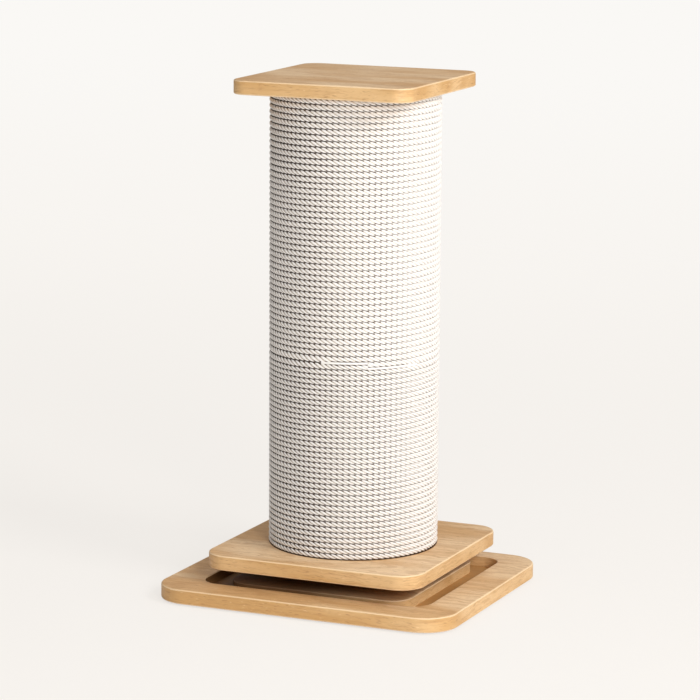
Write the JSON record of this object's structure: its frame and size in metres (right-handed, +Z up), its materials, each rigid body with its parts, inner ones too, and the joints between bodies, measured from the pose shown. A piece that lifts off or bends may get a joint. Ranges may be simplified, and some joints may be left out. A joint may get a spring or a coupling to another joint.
{
  "type": "cat scratching post",
  "caption": "Round rope-wound scratching column on a two-tier rectangular wooden base with a ball track, under a square wooden top board.",
  "frame": {"origin": "on the floor, under the middle of the base; the column's axis stands 10 mm behind it", "axes": "+Z up along the column, +X along the long front edge of the base, +Y to the back; the front is -Y"},
  "size_m": [0.366, 0.316, 0.602],
  "materials": {
    "oak": "satin, clear-oiled light oak",
    "plywood": "sanded plywood",
    "beech": "plain beech dowel",
    "cardboard": "matt wound paperboard",
    "sisal": "natural sisal rope, four strands",
    "zinc_steel": "bright zinc plate",
    "felt": "pressed felt"
  },
  "bodies": {
    "root": {"floor_pads": "felt", "base_frame": "oak", "floor_panel": "plywood", "floor_screws": "zinc_steel", "track_island": "oak", "spacer_block": "plywood", "island_screws": "zinc_steel", "spacer_dowels": "beech", "upper_plate": "oak", "base_dowels": "beech", "base_bolt": "zinc_steel", "base_washer": "zinc_steel", "base_tee_nut": "zinc_steel", "core_tube": "cardboard", "bottom_plug": "plywood", "top_plug": "plywood", "tube_staples": "zinc_steel", "rope_lower": "sisal", "rope_upper": "sisal", "rope_staples": "zinc_steel", "top_tee_nut": "zinc_steel", "top_stud": "zinc_steel", "top_insert": "zinc_steel", "top_dowels": "beech", "top_board": "oak"}
  },
  "joints": []
}
